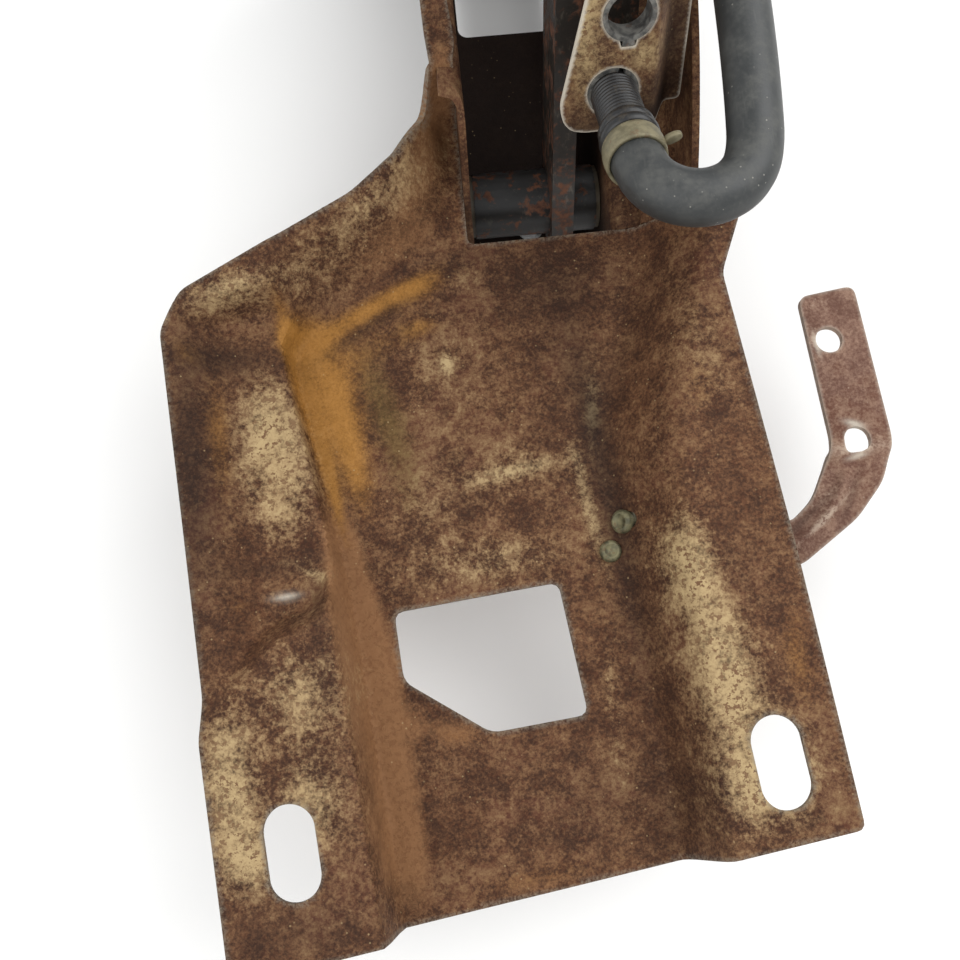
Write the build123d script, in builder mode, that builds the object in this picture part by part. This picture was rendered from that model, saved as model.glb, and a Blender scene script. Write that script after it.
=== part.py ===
"""Suspended brake pedal carried by its pressed-steel support bracket.

Frame: origin at the centre of the four-stud pattern on the firewall face, +Y out through
the firewall, +X to the right, +Z towards the open side that the pedal arm comes out of.
"""
from math import cos, pi, radians, sin, tan
import os

from build123d import *

# ---------------------------------------------------------------- driving dimensions, mm
SHEET = 2.2                 # thickness of every pressed sheet
NECK_LEFT = -22.0           # inner face of the left cheek
NECK_RIGHT = 24.0           # inner face of the right cheek
WEB_Z = -90.0               # top face of the web that closes the neck
FLOOR_Z = -35.0             # top face of the wide channel's floor
FLANGE_RISE = 22.0          # dash flanges above that floor
POCKET_RISE = 9.0           # floor of the open pocket in the left flange
WIDE_REACH = 250.0          # firewall face to the wide channel's reference point
WIDE_TURN = 5.0             # the wide channel is turned this far about +Z
WIDE_SIDE = -28.0           # its reference point, sideways from the stud pattern

STUD_PITCH_X, STUD_PITCH_Z = 86.0, 76.0
STUD_HOLE = 10.5
FLANGE_THICK = 3.0
FLANGE_HALF = 60.0
FLANGE_LOW, FLANGE_HIGH = -96.0, 54.0
ROD_OPENING = 44.0

PIVOT_Y, PIVOT_Z = -145.0, -60.0
BOLT_DIA = 10.0
SLEEVE_OD = 13.0
BUSH_OD = 18.0
HUB_OD = 22.7
RUN_GAP = 0.05              # radial running clearance of the pivot

ARM_LEFT, ARM_THICK = 6.0, 7.5
ARM_LEAN = 25.8             # arm away from +Z, towards the firewall
ARM_BACK, ARM_FRONT = 16.0, 12.0     # arm edges behind and ahead of the pivot
PAD_DROP = 245.0            # pivot to the middle of the pad, along +Z

VALVE_BORE = 12.7
HOSE_OD = 15.0
HOSE_ID = 8.0

SLOT_LONG, SLOT_WIDE = 26.0, 14.5
SWITCH_AT = (20.1, -150.4, 15.0)     # middle of the valve's hole in the switch plate
SWITCH_TURN = 2.0
SWITCH_PITCH = 22.7
CHEEK_SIDE = 53.0          # outer cheek, sideways at the firewall
CHEEK_TURN = 2.4

wide = Plane(
    origin=(WIDE_SIDE, -WIDE_REACH, FLOOR_Z),
    x_dir=(cos(radians(WIDE_TURN)), sin(radians(WIDE_TURN)), 0),
    z_dir=(0, 0, 1),
)
side = Plane.YZ             # sketches of the cheeks: x is +Y, y is +Z
lean = radians(ARM_LEAN)
turn = radians(SWITCH_TURN)
# In the arm's plane x points at the firewall and y runs down the arm from the pivot.
arm_plane = Plane(
    origin=(ARM_LEFT, PIVOT_Y, PIVOT_Z), x_dir=(0, cos(lean), -sin(lean)), z_dir=(1, 0, 0)
)
# The switch plate faces back along the arm's path: its z axis leaves the valve's hose end.
switch_plane = Plane(
    origin=SWITCH_AT, x_dir=(cos(turn), sin(turn), 0),
    z_dir=(sin(turn) * cos(lean), -cos(turn) * cos(lean), sin(lean)),
)
switch_section = Plane(
    origin=SWITCH_AT, x_dir=switch_plane.x_dir, z_dir=switch_plane.y_dir
)
# Outer face of the outer cheek, which runs back from the firewall and slightly inwards.
cheek_turn = radians(CHEEK_TURN)
cheek_plane = Plane(
    origin=(CHEEK_SIDE, 0, 0), x_dir=(sin(cheek_turn), cos(cheek_turn), 0),
    z_dir=(cos(cheek_turn), -sin(cheek_turn), 0),
)


def save(piece, label):
    """Name a finished piece and write its STEP file."""
    solid = piece.part if isinstance(piece, BuildPart) else piece
    solid.label = label
    os.makedirs("parts", exist_ok=True)
    export_step(solid, f"parts/{label}.step")
    return solid


# ---------------------------------------------------------------- main pressing
# Outline of the blank, seen from the open side, in the wide channel's own plane.
OUTLINE = [
    (-91.5, -128), (85.2, -120), (85.5, -38), (84, 46), (94, 64.5), (92, 69), (66, 74),
    (58.5, 75.2), (10.5, 78.7), (15.0, 129.2), (7.6, 124.6), (-7.8, 104.4), (-23.8, 93.4),
    (-43.8, 85.2), (-79.9, 70.2), (-88.3, 58.7), (-89.5, -52), (-91.5, -64),
]
# The channel is sunk between a foot line at floor level and a crest line at flange level.
FOOT = [
    (-44.5, -145), (-45.5, -20), (-52.6, 52.8), (-3, 74), (8.6, 84), (13.8, 145),
    (60, 145), (60, 66), (36, 4), (36.4, -145),
]
CREST = [
    (-49.5, -145), (-50.5, -20), (-58, 84), (-16, 100), (3.5, 127), (9.5, 145),
    (75, 145), (90, 72), (62, 0), (47, -145),
]
POCKET = [(-100, -66), (-70, -35), (-54, -31), (-40, 0), (-46, 66), (-100, 57)]


# Rounded walls: share of the way from foot to crest, share of the rise reached there.
BENDS = [(0, 0), (0.14, 0.03), (0.28, 0.13), (0.42, 0.33), (0.58, 0.67), (0.72, 0.87),
         (0.86, 0.97), (1, 1)]
CORNER_FOOT, CORNER_CREST = 7.0, 11.0        # plan radii of the hollow's corners
POCKET_TAPER = 18.0


def pressing_form(drop, grow):
    """Solid below the pressed surface, lowered by drop and with its hollows grown."""
    with BuildPart() as form:
        with BuildSketch(wide.offset(-drop - 12)):
            with BuildLine():
                Polyline(*OUTLINE, close=True)
            make_face()
            if drop:
                offset(amount=3, kind=Kind.INTERSECTION)
        extrude(amount=FLANGE_RISE + 12)
        for along, risen in BENDS:
            corners = [(foot[0] + along * (crest[0] - foot[0]), foot[1] + along * (crest[1] - foot[1]))
                       for foot, crest in zip(FOOT, CREST)]
            with BuildSketch(wide.offset(risen * FLANGE_RISE - drop)):
                with BuildLine():
                    Polyline(*corners, close=True)
                make_face()
                fillet(vertices(), radius=CORNER_FOOT + along * (CORNER_CREST - CORNER_FOOT))
                if grow:
                    offset(amount=grow)
        loft(ruled=True, mode=Mode.SUBTRACT)
        with BuildSketch(wide.offset(POCKET_RISE - drop)):
            with BuildLine():
                Polyline(*POCKET, close=True)
            make_face()
            fillet(vertices(), radius=9)
            if grow:
                offset(amount=grow)
        extrude(amount=FLANGE_RISE, taper=-POCKET_TAPER, mode=Mode.SUBTRACT)
    return form.part


WINDOW = [(-33.5, -36), (18, -36), (19, -76.7), (-10.5, -76.7), (-34, -57)]
SLOTS = ((-70.2, -97.5), (66.8, -98.5))
RIVETS = ((41.7, -21.5), (35.9, -29.1))      # in the wide channel's plane
RIVET_DIA = 6.0

LIP = ((-88.6, -50.0), (-87.5, 56.0))        # the dash flange's outer edge is rolled over here
LIP_RADIUS = 1.9

with BuildPart() as main_pressing:
    add(pressing_form(0, 0))
    add(pressing_form(SHEET, 0.6 * SHEET), mode=Mode.SUBTRACT)
    lip_ends = [wide.from_local_coords((u, v, POCKET_RISE - LIP_RADIUS + 0.7)) for u, v in LIP]
    with BuildLine() as lip_line:
        Line(*lip_ends)
    with BuildSketch(Plane(lip_ends[0], z_dir=lip_line.wire() % 0)):
        Circle(LIP_RADIUS)
    sweep(path=lip_line)
    with BuildSketch(wide.offset(-8)):
        with BuildLine():
            Polyline(*WINDOW, close=True)
        make_face()
        fillet(vertices(), radius=2.5)
        with Locations(*SLOTS):
            SlotOverall(SLOT_LONG, SLOT_WIDE, rotation=90)
        with Locations(*RIVETS):
            Circle(RIVET_DIA / 2)
    extrude(amount=FLANGE_RISE + 16, mode=Mode.SUBTRACT)
save(main_pressing, "main_pressing")

# ---------------------------------------------------------------- neck channel
SHELF_Z = -36.0             # the right cheek turns outwards here to meet the outer cheek
NECK_BACK = -170.0
LEFT_RIM_Z = -9.0
RIM_LIP = 6.5               # the left cheek's rim is turned outwards by this much
left_mid = NECK_LEFT - SHEET / 2
right_mid = NECK_RIGHT + SHEET / 2
NECK_WINDOW = (38.0, 44.0)  # lightening window in the web, across and along
NECK_WINDOW_Y = -34.0
SEEN_HOLE = (2.0, -141.0, 5.0)       # small hole in the web below the pivot: x, y, radius

with BuildPart() as neck_channel:
    with BuildSketch(Plane.XZ.offset(FLANGE_THICK)):
        with BuildLine() as neck_line:
            FilletPolyline(
                (left_mid - RIM_LIP, LEFT_RIM_Z + 1), (left_mid, LEFT_RIM_Z),
                (left_mid, WEB_Z - SHEET / 2),
                (right_mid, WEB_Z - SHEET / 2), (right_mid, SHELF_Z),
                (CHEEK_SIDE, SHELF_Z + 2), radius=4,
            )
        trace(line_width=SHEET)
    extrude(amount=-NECK_BACK - FLANGE_THICK)
    split(bisect_by=cheek_plane.offset(-SHEET), keep=Keep.BOTTOM)
    with BuildSketch(side.offset(-80)):
        with BuildLine():
            Polyline((-172, -39.5), (-172, 0), (-118, 0), (-140, -14.5), (-158, -38.0), close=True)
        make_face()
    extrude(amount=80, mode=Mode.SUBTRACT)
    with BuildSketch(side.offset(-80)):
        with BuildLine():
            Polyline((-172, -45), (-166, -76), (-156, -95), (-172, -95), close=True)
        make_face()
    extrude(amount=160, mode=Mode.SUBTRACT)
    with BuildSketch(Plane.XY.offset(WEB_Z - 8)):
        with Locations(((NECK_LEFT + NECK_RIGHT) / 2, NECK_WINDOW_Y)):
            RectangleRounded(*NECK_WINDOW, 4)
        with Locations(SEEN_HOLE[:2]):
            Circle(SEEN_HOLE[2])
    extrude(amount=16, mode=Mode.SUBTRACT)
    with BuildSketch(side.offset(-80)):
        with Locations((PIVOT_Y, PIVOT_Z)):
            Circle(BOLT_DIA / 2)
    extrude(amount=160, mode=Mode.SUBTRACT)
save(neck_channel, "neck_channel")

# ---------------------------------------------------------------- outer cheek
FOOT_BEND = 12.0            # outside radius of the bend that joins the cheek to the shelf
FOOT_RUN = 62.0             # how far that bend runs from the cheek's rear edge
CHEEK_REAR = -171.0
cheek_foot_plane = Plane(
    origin=cheek_plane.from_local_coords((CHEEK_REAR, SHELF_Z + 3.2, 1 - SHEET)),
    x_dir=-cheek_plane.z_dir, z_dir=cheek_plane.x_dir,
)

with BuildPart() as outer_cheek:
    with BuildSketch(cheek_plane):
        with BuildLine():
            rim = Spline((CHEEK_REAR, -4), (-150, 9), (-122, 19), (-80, 22), (-3.2, 40))
            Polyline(rim @ 1, (-3.2, -62), (-110, -60), (-158, -52), (CHEEK_REAR, -34), rim @ 0)
        make_face()
        with Locations((-62, -8)):
            SlotOverall(70, 34, mode=Mode.SUBTRACT)
    extrude(amount=-SHEET)
    with BuildSketch(cheek_foot_plane):
        with Locations((FOOT_BEND, FOOT_BEND)):
            Circle(FOOT_BEND)
            Circle(FOOT_BEND - SHEET, mode=Mode.SUBTRACT)
        with Locations((FOOT_BEND / 2, FOOT_BEND / 2)):
            Rectangle(FOOT_BEND, FOOT_BEND, mode=Mode.INTERSECT)
    extrude(amount=FOOT_RUN)
save(outer_cheek, "outer_cheek")

# ---------------------------------------------------------------- firewall flange
with BuildPart() as firewall_flange:
    with BuildSketch(Plane.XZ):
        with BuildLine():
            Polyline(
                (-FLANGE_HALF, FLANGE_HIGH), (FLANGE_HALF, FLANGE_HIGH), (FLANGE_HALF, -62),
                (34, FLANGE_LOW), (-34, FLANGE_LOW), (-FLANGE_HALF, -62), close=True,
            )
        make_face()
        fillet(vertices(), radius=9)
        Circle(ROD_OPENING / 2, mode=Mode.SUBTRACT)
        with GridLocations(STUD_PITCH_X, STUD_PITCH_Z, 2, 2):
            Circle(STUD_HOLE / 2, mode=Mode.SUBTRACT)
    extrude(amount=FLANGE_THICK)
save(firewall_flange, "firewall_flange")

# ---------------------------------------------------------------- switch plate
PLATE_LEFT, PLATE_RIGHT = -15.2, 12.0     # along the plate's own x
PLATE_LOW, PLATE_HIGH = -12.5, 36.0       # down the arm's direction
KEY_BORE = 15.0
VALLEY = 12.0

with BuildPart() as switch_plate:
    with BuildSketch(switch_section.offset(PLATE_LOW)):
        with BuildLine():
            FilletPolyline(
                (PLATE_LEFT - 2, SHEET / 2), (PLATE_RIGHT, SHEET / 2), (15, VALLEY * 0.7),
                (18.5, VALLEY), (23.0, VALLEY), (23.6, 1.0), radius=2.2,
            )
        trace(line_width=SHEET)
    extrude(amount=PLATE_HIGH - PLATE_LOW)
    split(bisect_by=cheek_plane.offset(-SHEET), keep=Keep.BOTTOM)
    with BuildSketch(switch_plane.offset(-6)):
        with BuildLine():
            Polyline(
                (-30, PLATE_LOW - 5), (PLATE_LEFT + 7, PLATE_LOW), (PLATE_LEFT + 3, PLATE_LOW + 1.4),
                (PLATE_LEFT + 0.8, PLATE_LOW + 4.2), (PLATE_LEFT, PLATE_LOW + 9),
                (-6.5, PLATE_HIGH), (-6.5, 60), (-30, 60), close=True,
            )
        make_face()
    extrude(amount=12, mode=Mode.SUBTRACT)
    with BuildSketch(switch_plane.offset(-6)):
        with Locations((0, 0), (3.7, SWITCH_PITCH)):
            Circle(KEY_BORE / 2)
            with Locations((0, -KEY_BORE / 2)):
                Rectangle(4, 3)
    extrude(amount=12, mode=Mode.SUBTRACT)
save(switch_plate, "switch_plate")

# ---------------------------------------------------------------- switch retainers
CLIP_LIP, CLIP_REACH, CLIP_PROUD = 1.8, 4.4, 0.3


def retainer(at, bore):
    """Split sleeve for a push-in switch, with a lip behind the plate, flush on the hose side."""
    with BuildPart() as clip:
        with BuildSketch(switch_plane.offset(-SHEET - CLIP_REACH)):
            with Locations(at):
                Circle(KEY_BORE / 2)
                with Locations((0, -KEY_BORE / 2)):
                    Rectangle(3.4, 2.6)
        extrude(amount=SHEET + CLIP_REACH + CLIP_PROUD)
        with BuildSketch(switch_plane.offset(-SHEET - 1.4)):
            with Locations(at):
                Circle(KEY_BORE / 2 + CLIP_LIP)
        extrude(amount=1.4)
        with BuildSketch(switch_plane.offset(-SHEET - CLIP_REACH - 1)):
            with Locations(at):
                Circle(bore / 2)
                with Locations((2.6, KEY_BORE / 2)):
                    Rectangle(2, 8, rotation=-20)
        extrude(amount=SHEET + CLIP_REACH + 4, mode=Mode.SUBTRACT)
    return clip.part


save(retainer((0, 0), VALVE_BORE), "valve_retainer")
save(retainer((3.7, SWITCH_PITCH), VALVE_BORE - 0.4), "spare_switch_retainer")

# ---------------------------------------------------------------- vacuum release valve
BARREL_FRONT, BARREL_BACK = -10.0, 19.0
RIB_PITCH, RIB_DEPTH = 2.0, 0.6
PLUNGER_DIA = 5.0
PLUNGER_TIP = -21.1         # along the valve's axis, just short of the striker
COLLAR_BACK = 25.5
NOZZLE_BACK = 34.0
CLAMP_AT = 30.4
axis_profile = Plane(
    origin=SWITCH_AT, x_dir=switch_plane.x_dir, z_dir=-switch_plane.y_dir
)           # sketches here are turned about the valve's axis, which is their y

with BuildPart() as valve_barrel:
    with BuildSketch(axis_profile):
        with BuildLine():
            outer = [(PLUNGER_DIA / 2 + 0.1, BARREL_FRONT), (5.2, BARREL_FRONT)]
            crest, root = VALVE_BORE / 2, VALVE_BORE / 2 - RIB_DEPTH
            ribs = int((BARREL_BACK - BARREL_FRONT - 1) / RIB_PITCH)
            for rib in range(ribs):
                foot = BARREL_FRONT + 1 + rib * RIB_PITCH
                outer += [(root, foot), (crest, foot + 0.5), (crest, foot + 1.3)]
            outer += [(root, BARREL_BACK), (PLUNGER_DIA / 2 + 0.1, BARREL_BACK)]
            Polyline(*outer, close=True)
        make_face()
    revolve(axis=Axis(SWITCH_AT, switch_plane.z_dir))
save(valve_barrel, "valve_barrel")

with BuildPart() as valve_collar:
    with BuildSketch(axis_profile):
        with BuildLine():
            Polyline(
                (0, BARREL_BACK), (7.2, BARREL_BACK), (8.6, BARREL_BACK + 1.5),
                (8.6, COLLAR_BACK - 1.5), (7.6, COLLAR_BACK), (HOSE_ID / 2, COLLAR_BACK),
                (HOSE_ID / 2, NOZZLE_BACK - 2), (3.2, NOZZLE_BACK), (0, NOZZLE_BACK), close=True,
            )
        make_face()
    revolve(axis=Axis(SWITCH_AT, switch_plane.z_dir))
    fillet(valve_collar.edges().filter_by(GeomType.CIRCLE).group_by(SortBy.RADIUS)[-1], 0.8)
save(valve_collar, "valve_collar")

with BuildPart() as valve_plunger:
    with BuildSketch(switch_plane.offset(PLUNGER_TIP)):
        Circle(PLUNGER_DIA / 2)
    extrude(amount=BARREL_BACK - 6.5 - PLUNGER_TIP)
    fillet(valve_plunger.edges().filter_by(GeomType.CIRCLE), 0.8)
save(valve_plunger, "valve_plunger")

# ---------------------------------------------------------------- hose and its clamp
# Centre line of the moulded hose: out of the valve, round the tight bend, then away
# beside the neck. Straight runs are joined by tangent arcs.
hose_start = switch_plane.from_local_coords((0, 0, COLLAR_BACK))
HOSE_POINTS = [
    tuple(hose_start), (21.2, -185.4, 31.9), (26.9, -193.3, 34.5), (36.2, -196.3, 35.5),
    (45.5, -193.3, 35.5), (51.2, -185.4, 35.5), (52.8, -170.0, 35.5), (54.2, -146.0, 35.5),
    (55.4, -114.0, 34.0), (56.4, -80.0, 32.0),
]


def bend_radii(points):
    """Radius of the arc at each corner: 0.45 of the shorter run over tan of half the turn."""
    radii = []
    for before, corner, after in zip(points, points[1:], points[2:]):
        run_in = Vector(corner) - Vector(before)
        run_out = Vector(after) - Vector(corner)
        half = radians(run_in.get_angle(run_out)) / 2
        radii.append(0.45 * min(run_in.length, run_out.length) / tan(half))
    return radii


hose_radii = bend_radii(HOSE_POINTS)
print("hose bend radii", [round(radius, 1) for radius in hose_radii])
with BuildPart() as vacuum_hose:
    with BuildLine() as hose_line:
        FilletPolyline(*HOSE_POINTS, radius=hose_radii)
    with BuildSketch(Plane(hose_line.wire() @ 0, z_dir=hose_line.wire() % 0)):
        Circle(HOSE_OD / 2)
        Circle(HOSE_ID / 2, mode=Mode.SUBTRACT)
    sweep()
hose_length = hose_line.wire().length
hose_section = pi * (HOSE_OD**2 - HOSE_ID**2) / 4
print("hose length", round(hose_length, 1), "volume over section x length",
      round(vacuum_hose.part.volume / (hose_section * hose_length), 4))
save(vacuum_hose, "vacuum_hose")

# Moulded connector in the hose's far end, with a barbed spigot for the line that goes on.
CONNECTOR_BORE = 2.2
SPIGOT = 3.9                # radius of the half inside the hose
hose_far = Plane(hose_line.wire() @ 1, z_dir=hose_line.wire() % 1)
connector_profile = Plane(hose_far.origin, x_dir=hose_far.x_dir, z_dir=-hose_far.y_dir)
with BuildPart() as hose_connector:
    with BuildSketch(connector_profile):
        with BuildLine():
            Polyline(
                (CONNECTOR_BORE, -15), (3.4, -15), (SPIGOT, -13), (SPIGOT, 0), (8.6, 0),
                (8.6, 3), (5.2, 3.8), (5.2, 8), (3.5, 8.6), (4.4, 9.4), (3.5, 13), (4.4, 13.6),
                (3.5, 17.4), (4.4, 18), (3.2, 22), (CONNECTOR_BORE, 22), close=True,
            )
        make_face()
    revolve(axis=Axis(hose_far.origin, hose_far.z_dir))
save(hose_connector, "hose_connector")

CLAMP_EAR = 2.6             # width and thickness of the spring clamp's finger tab

with BuildPart() as hose_clamp:
    with BuildSketch(switch_plane.offset(CLAMP_AT - 3.6)):
        Circle(HOSE_OD / 2 + 1.1)
        Circle(HOSE_OD / 2, mode=Mode.SUBTRACT)
    extrude(amount=7.2)
    with BuildSketch(switch_plane.offset(CLAMP_AT - 0.2)):
        with Locations((HOSE_OD / 2 + 3.2, 3.4)):
            SlotOverall(7.6, CLAMP_EAR, rotation=22)
    extrude(amount=CLAMP_EAR)
    with BuildSketch(switch_plane.offset(CLAMP_AT - 3.6)):
        Circle(HOSE_OD / 2)
    extrude(amount=7.2, mode=Mode.SUBTRACT)
save(hose_clamp, "hose_clamp")

# ---------------------------------------------------------------- side strap and its rivets
STRAP_THICK = 2.5
STRAP_TOP = FLOOR_Z - SHEET         # it lies against the underside of the channel's floor
BEAD = [(68, -25.4), (97, -29.8), (109, -20), (116.5, -9.5)]     # pressed stiffening bead
BEAD_RADIUS = 2.4
BEAD_SINK = 1.6             # bead's axis above the strap's underside
strap_level = Plane(origin=(WIDE_SIDE, -WIDE_REACH, STRAP_TOP - STRAP_THICK))

with BuildPart() as side_strap:
    with BuildSketch(strap_level):
        with BuildLine():
            FilletPolyline(
                (31, -19.0), (44, -10.0), (62, -14.0), (96, -22.4), (104, -15.7), (113, 1.4),
                (110, 51.5), (128.7, 53.9), (132.4, 1.1), (127, -12), (117, -23), (97, -36.2),
                (60, -37.5), (36, -34), radius=3, close=True,
            )
        make_face()
        with Locations((117.7, 36.1)):
            Circle(4.35, mode=Mode.SUBTRACT)
        with Locations((121.2, 2.2)):
            Circle(4.2, mode=Mode.SUBTRACT)
    extrude(amount=STRAP_THICK)
    with BuildLine() as bead_line:
        FilletPolyline(*[strap_level.from_local_coords((u, v, BEAD_SINK)) for u, v in BEAD],
                       radius=8)
    with BuildSketch(Plane(bead_line.wire() @ 0, z_dir=bead_line.wire() % 0)):
        Circle(BEAD_RADIUS)
    sweep()
    with BuildSketch(wide.offset(-12)):
        with Locations(*RIVETS):
            Circle(RIVET_DIA / 2)
    extrude(amount=20, mode=Mode.SUBTRACT)
save(side_strap, "side_strap")

RIVET_TOPS = (8.6, 3.0)             # heads above the channel floor, on the rising wall
with BuildPart() as strap_rivets:
    for at, top in zip(RIVETS, RIVET_TOPS):
        under = -SHEET - STRAP_THICK
        with BuildSketch(wide.offset(under - 1.8)):
            with Locations(at):
                Circle(4.6)
        extrude(amount=1.8)
        with BuildSketch(wide.offset(under)):
            with Locations(at):
                Circle(RIVET_DIA / 2)
        extrude(amount=top - under)
        with BuildSketch(wide.offset(top)):
            with Locations(at):
                Circle(3.6)
        extrude(amount=2.2)
save(strap_rivets, "strap_rivets")

# ---------------------------------------------------------------- pivot
BUSH_FLANGE = 1.5
BUSH_REACH = 14.0           # bushing's length inside the hub
END_FLOAT = 0.3             # between each bushing flange and its cheek
WASHER, WASHER_DIA = 1.6, 20.0
HEX_FLATS = 16.0
left_out = NECK_LEFT - SHEET
right_out = NECK_RIGHT + SHEET
hub_left = NECK_LEFT + END_FLOAT + BUSH_FLANGE
hub_right = NECK_RIGHT - END_FLOAT - BUSH_FLANGE


def turned(*rings):
    """Solid of rings about the pivot axis, each (outer radius, inner radius, from x, to x)."""
    with BuildPart() as piece:
        for outer, inner, start, end in rings:
            with BuildSketch(Plane(origin=(start, PIVOT_Y, PIVOT_Z), z_dir=(1, 0, 0))):
                Circle(outer)
                if inner:
                    Circle(inner, mode=Mode.SUBTRACT)
            extrude(amount=end - start)
    return piece.part


shank = BOLT_DIA / 2
with BuildPart() as pivot_bolt:
    add(turned((shank, 0, left_out - WASHER, right_out + 14)))
    with BuildSketch(Plane(origin=(left_out - WASHER - 6.4, PIVOT_Y, PIVOT_Z), z_dir=(1, 0, 0))):
        RegularPolygon(HEX_FLATS / 2, 6, major_radius=False)
    extrude(amount=6.4)
save(pivot_bolt, "pivot_bolt")
with BuildPart() as pivot_nut:
    with BuildSketch(Plane(origin=(right_out + WASHER, PIVOT_Y, PIVOT_Z), z_dir=(1, 0, 0))):
        RegularPolygon(HEX_FLATS / 2, 6, major_radius=False)
        Circle(shank, mode=Mode.SUBTRACT)
    extrude(amount=8)
save(pivot_nut, "pivot_nut")
save(turned((WASHER_DIA / 2, shank, left_out - WASHER, left_out),
            (WASHER_DIA / 2, shank, right_out, right_out + WASHER)), "pivot_washers")
save(turned((SLEEVE_OD / 2, shank, NECK_LEFT, NECK_RIGHT)), "pivot_sleeve")
bush_bore = SLEEVE_OD / 2 + RUN_GAP
bush_lip = HUB_OD / 2 - 0.6
save(turned((BUSH_OD / 2, bush_bore, hub_left, hub_left + BUSH_REACH),
            (bush_lip, bush_bore, hub_left - BUSH_FLANGE, hub_left)), "hub_bushing_left")
save(turned((BUSH_OD / 2, bush_bore, hub_right - BUSH_REACH, hub_right),
            (bush_lip, bush_bore, hub_right, hub_right + BUSH_FLANGE)), "hub_bushing_right")
save(turned((HUB_OD / 2, BUSH_OD / 2, hub_left, hub_right)), "pedal_hub")

# ---------------------------------------------------------------- pedal arm
PIN_DOWN, PIN_DIA, PIN_LENGTH = 86.0, 9.5, 24.0
PAD_FACE = 38.0             # pad's face up from the driver's line of sight
pad_centre = (ARM_LEFT + ARM_THICK / 2, PIVOT_Y + 15, PIVOT_Z + PAD_DROP)
pad_plane = Plane(
    origin=pad_centre, x_dir=(1, 0, 0), z_dir=(0, -cos(radians(PAD_FACE)), sin(radians(PAD_FACE)))
)
tip = arm_plane.to_local_coords(Vector(*pad_centre))

with BuildPart() as pedal_arm:
    with BuildSketch(arm_plane):
        with BuildLine():
            back = Spline((-ARM_BACK, 0), (-ARM_BACK, 60), (-26, 128), (tip.X - 2, tip.Y - 16),
                          tangents=[(0, 1), (-1, 0.9)])
            front = Spline((ARM_FRONT, 0), (ARM_FRONT, 66), (2, 140), (tip.X + 9, tip.Y + 5),
                           tangents=[(0, 1), (-1, 0.9)])
            Line(back @ 1, front @ 1)
            ThreePointArc(back @ 0, (-2, -16.5), front @ 0)
        make_face()
        Circle(HUB_OD / 2, mode=Mode.SUBTRACT)
        with Locations((-1, PIN_DOWN)):
            Circle(PIN_DIA / 2, mode=Mode.SUBTRACT)
    extrude(amount=ARM_THICK)
    split(bisect_by=pad_plane.offset(-3), keep=Keep.BOTTOM)
save(pedal_arm, "pedal_arm")

STRIKER = (17.0, 50.0)      # plate that both switches bear on: how far right, how far down
with BuildPart() as striker_plate:
    with BuildSketch(arm_plane.offset(ARM_THICK)):
        with Locations((-ARM_BACK + 1.5, 76)):
            Rectangle(3, STRIKER[1])
        with Locations((-ARM_BACK + 8, 76)):
            Rectangle(10, 3)
    extrude(amount=STRIKER[0])
    fillet(striker_plate.edges().filter_by(Axis.X), 0.6)
save(striker_plate, "striker_plate")

with BuildPart() as pushrod_pin:
    with BuildSketch(arm_plane.offset(-PIN_LENGTH + ARM_THICK)):
        with Locations((-1, PIN_DOWN)):
            Circle(PIN_DIA / 2)
    extrude(amount=PIN_LENGTH)
    chamfer(pushrod_pin.edges().group_by(Axis.X)[0], 1.0)
    with BuildSketch(arm_plane.offset(-PIN_LENGTH + ARM_THICK + 3)):
        with Locations((-1, PIN_DOWN)):
            Circle(PIN_DIA / 2)
            Circle(PIN_DIA / 2 - 1, mode=Mode.SUBTRACT)
    extrude(amount=1.6, mode=Mode.SUBTRACT)
save(pushrod_pin, "pushrod_pin")

with BuildPart() as pin_clip:
    with BuildSketch(arm_plane.offset(-PIN_LENGTH + ARM_THICK + 3.2)):
        with Locations((-1, PIN_DOWN)):
            Circle(PIN_DIA / 2 + 2.4)
            Circle(PIN_DIA / 2 - 1, mode=Mode.SUBTRACT)
            with Locations((PIN_DIA / 2 + 1, 0)):
                Rectangle(PIN_DIA + 2, 5, mode=Mode.SUBTRACT)
    extrude(amount=1.2)
save(pin_clip, "pin_clip")

# ---------------------------------------------------------------- pedal pad
PAD_WIDE, PAD_TALL, PAD_THICK = 108.0, 58.0, 10.0
with BuildPart() as pad_plate:
    with BuildSketch(pad_plane.offset(-3)):
        RectangleRounded(PAD_WIDE - 8, PAD_TALL - 8, 9)
    extrude(amount=3)
save(pad_plate, "pad_plate")

with BuildPart() as pad_rubber:
    with BuildSketch(pad_plane.offset(-5)):
        RectangleRounded(PAD_WIDE, PAD_TALL, 12)
    extrude(amount=PAD_THICK, taper=6)
    with BuildSketch(pad_plane.offset(-3)):
        RectangleRounded(PAD_WIDE - 8, PAD_TALL - 8, 9)
    extrude(amount=3, mode=Mode.SUBTRACT)
    with BuildSketch(pad_plane.offset(-6)):
        RectangleRounded(PAD_WIDE - 16, PAD_TALL - 16, 6)
    extrude(amount=4, mode=Mode.SUBTRACT)
    with BuildSketch(pad_plane.offset(PAD_THICK - 6.5)):
        with GridLocations(12, 0, 8, 1):
            SlotOverall(PAD_TALL - 20, 4, rotation=90)
    extrude(amount=4, mode=Mode.SUBTRACT)
save(pad_rubber, "pad_rubber")
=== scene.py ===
"""Looks of a suspended brake pedal on its rusty pressed-steel support bracket.

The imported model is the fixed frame. Lengths in this file are millimetres unless a name ends
in _M; meshes are written in metres, in the row frame: +Y out through the firewall, +X to the
right, +Z towards the open side that the pedal arm comes out of.
"""

from __future__ import annotations

import logging
import math
from dataclasses import dataclass, field
from enum import Enum

import bpy
import numpy as np
from mathutils import Matrix, Vector
from mathutils.geometry import delaunay_2d_cdt


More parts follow.
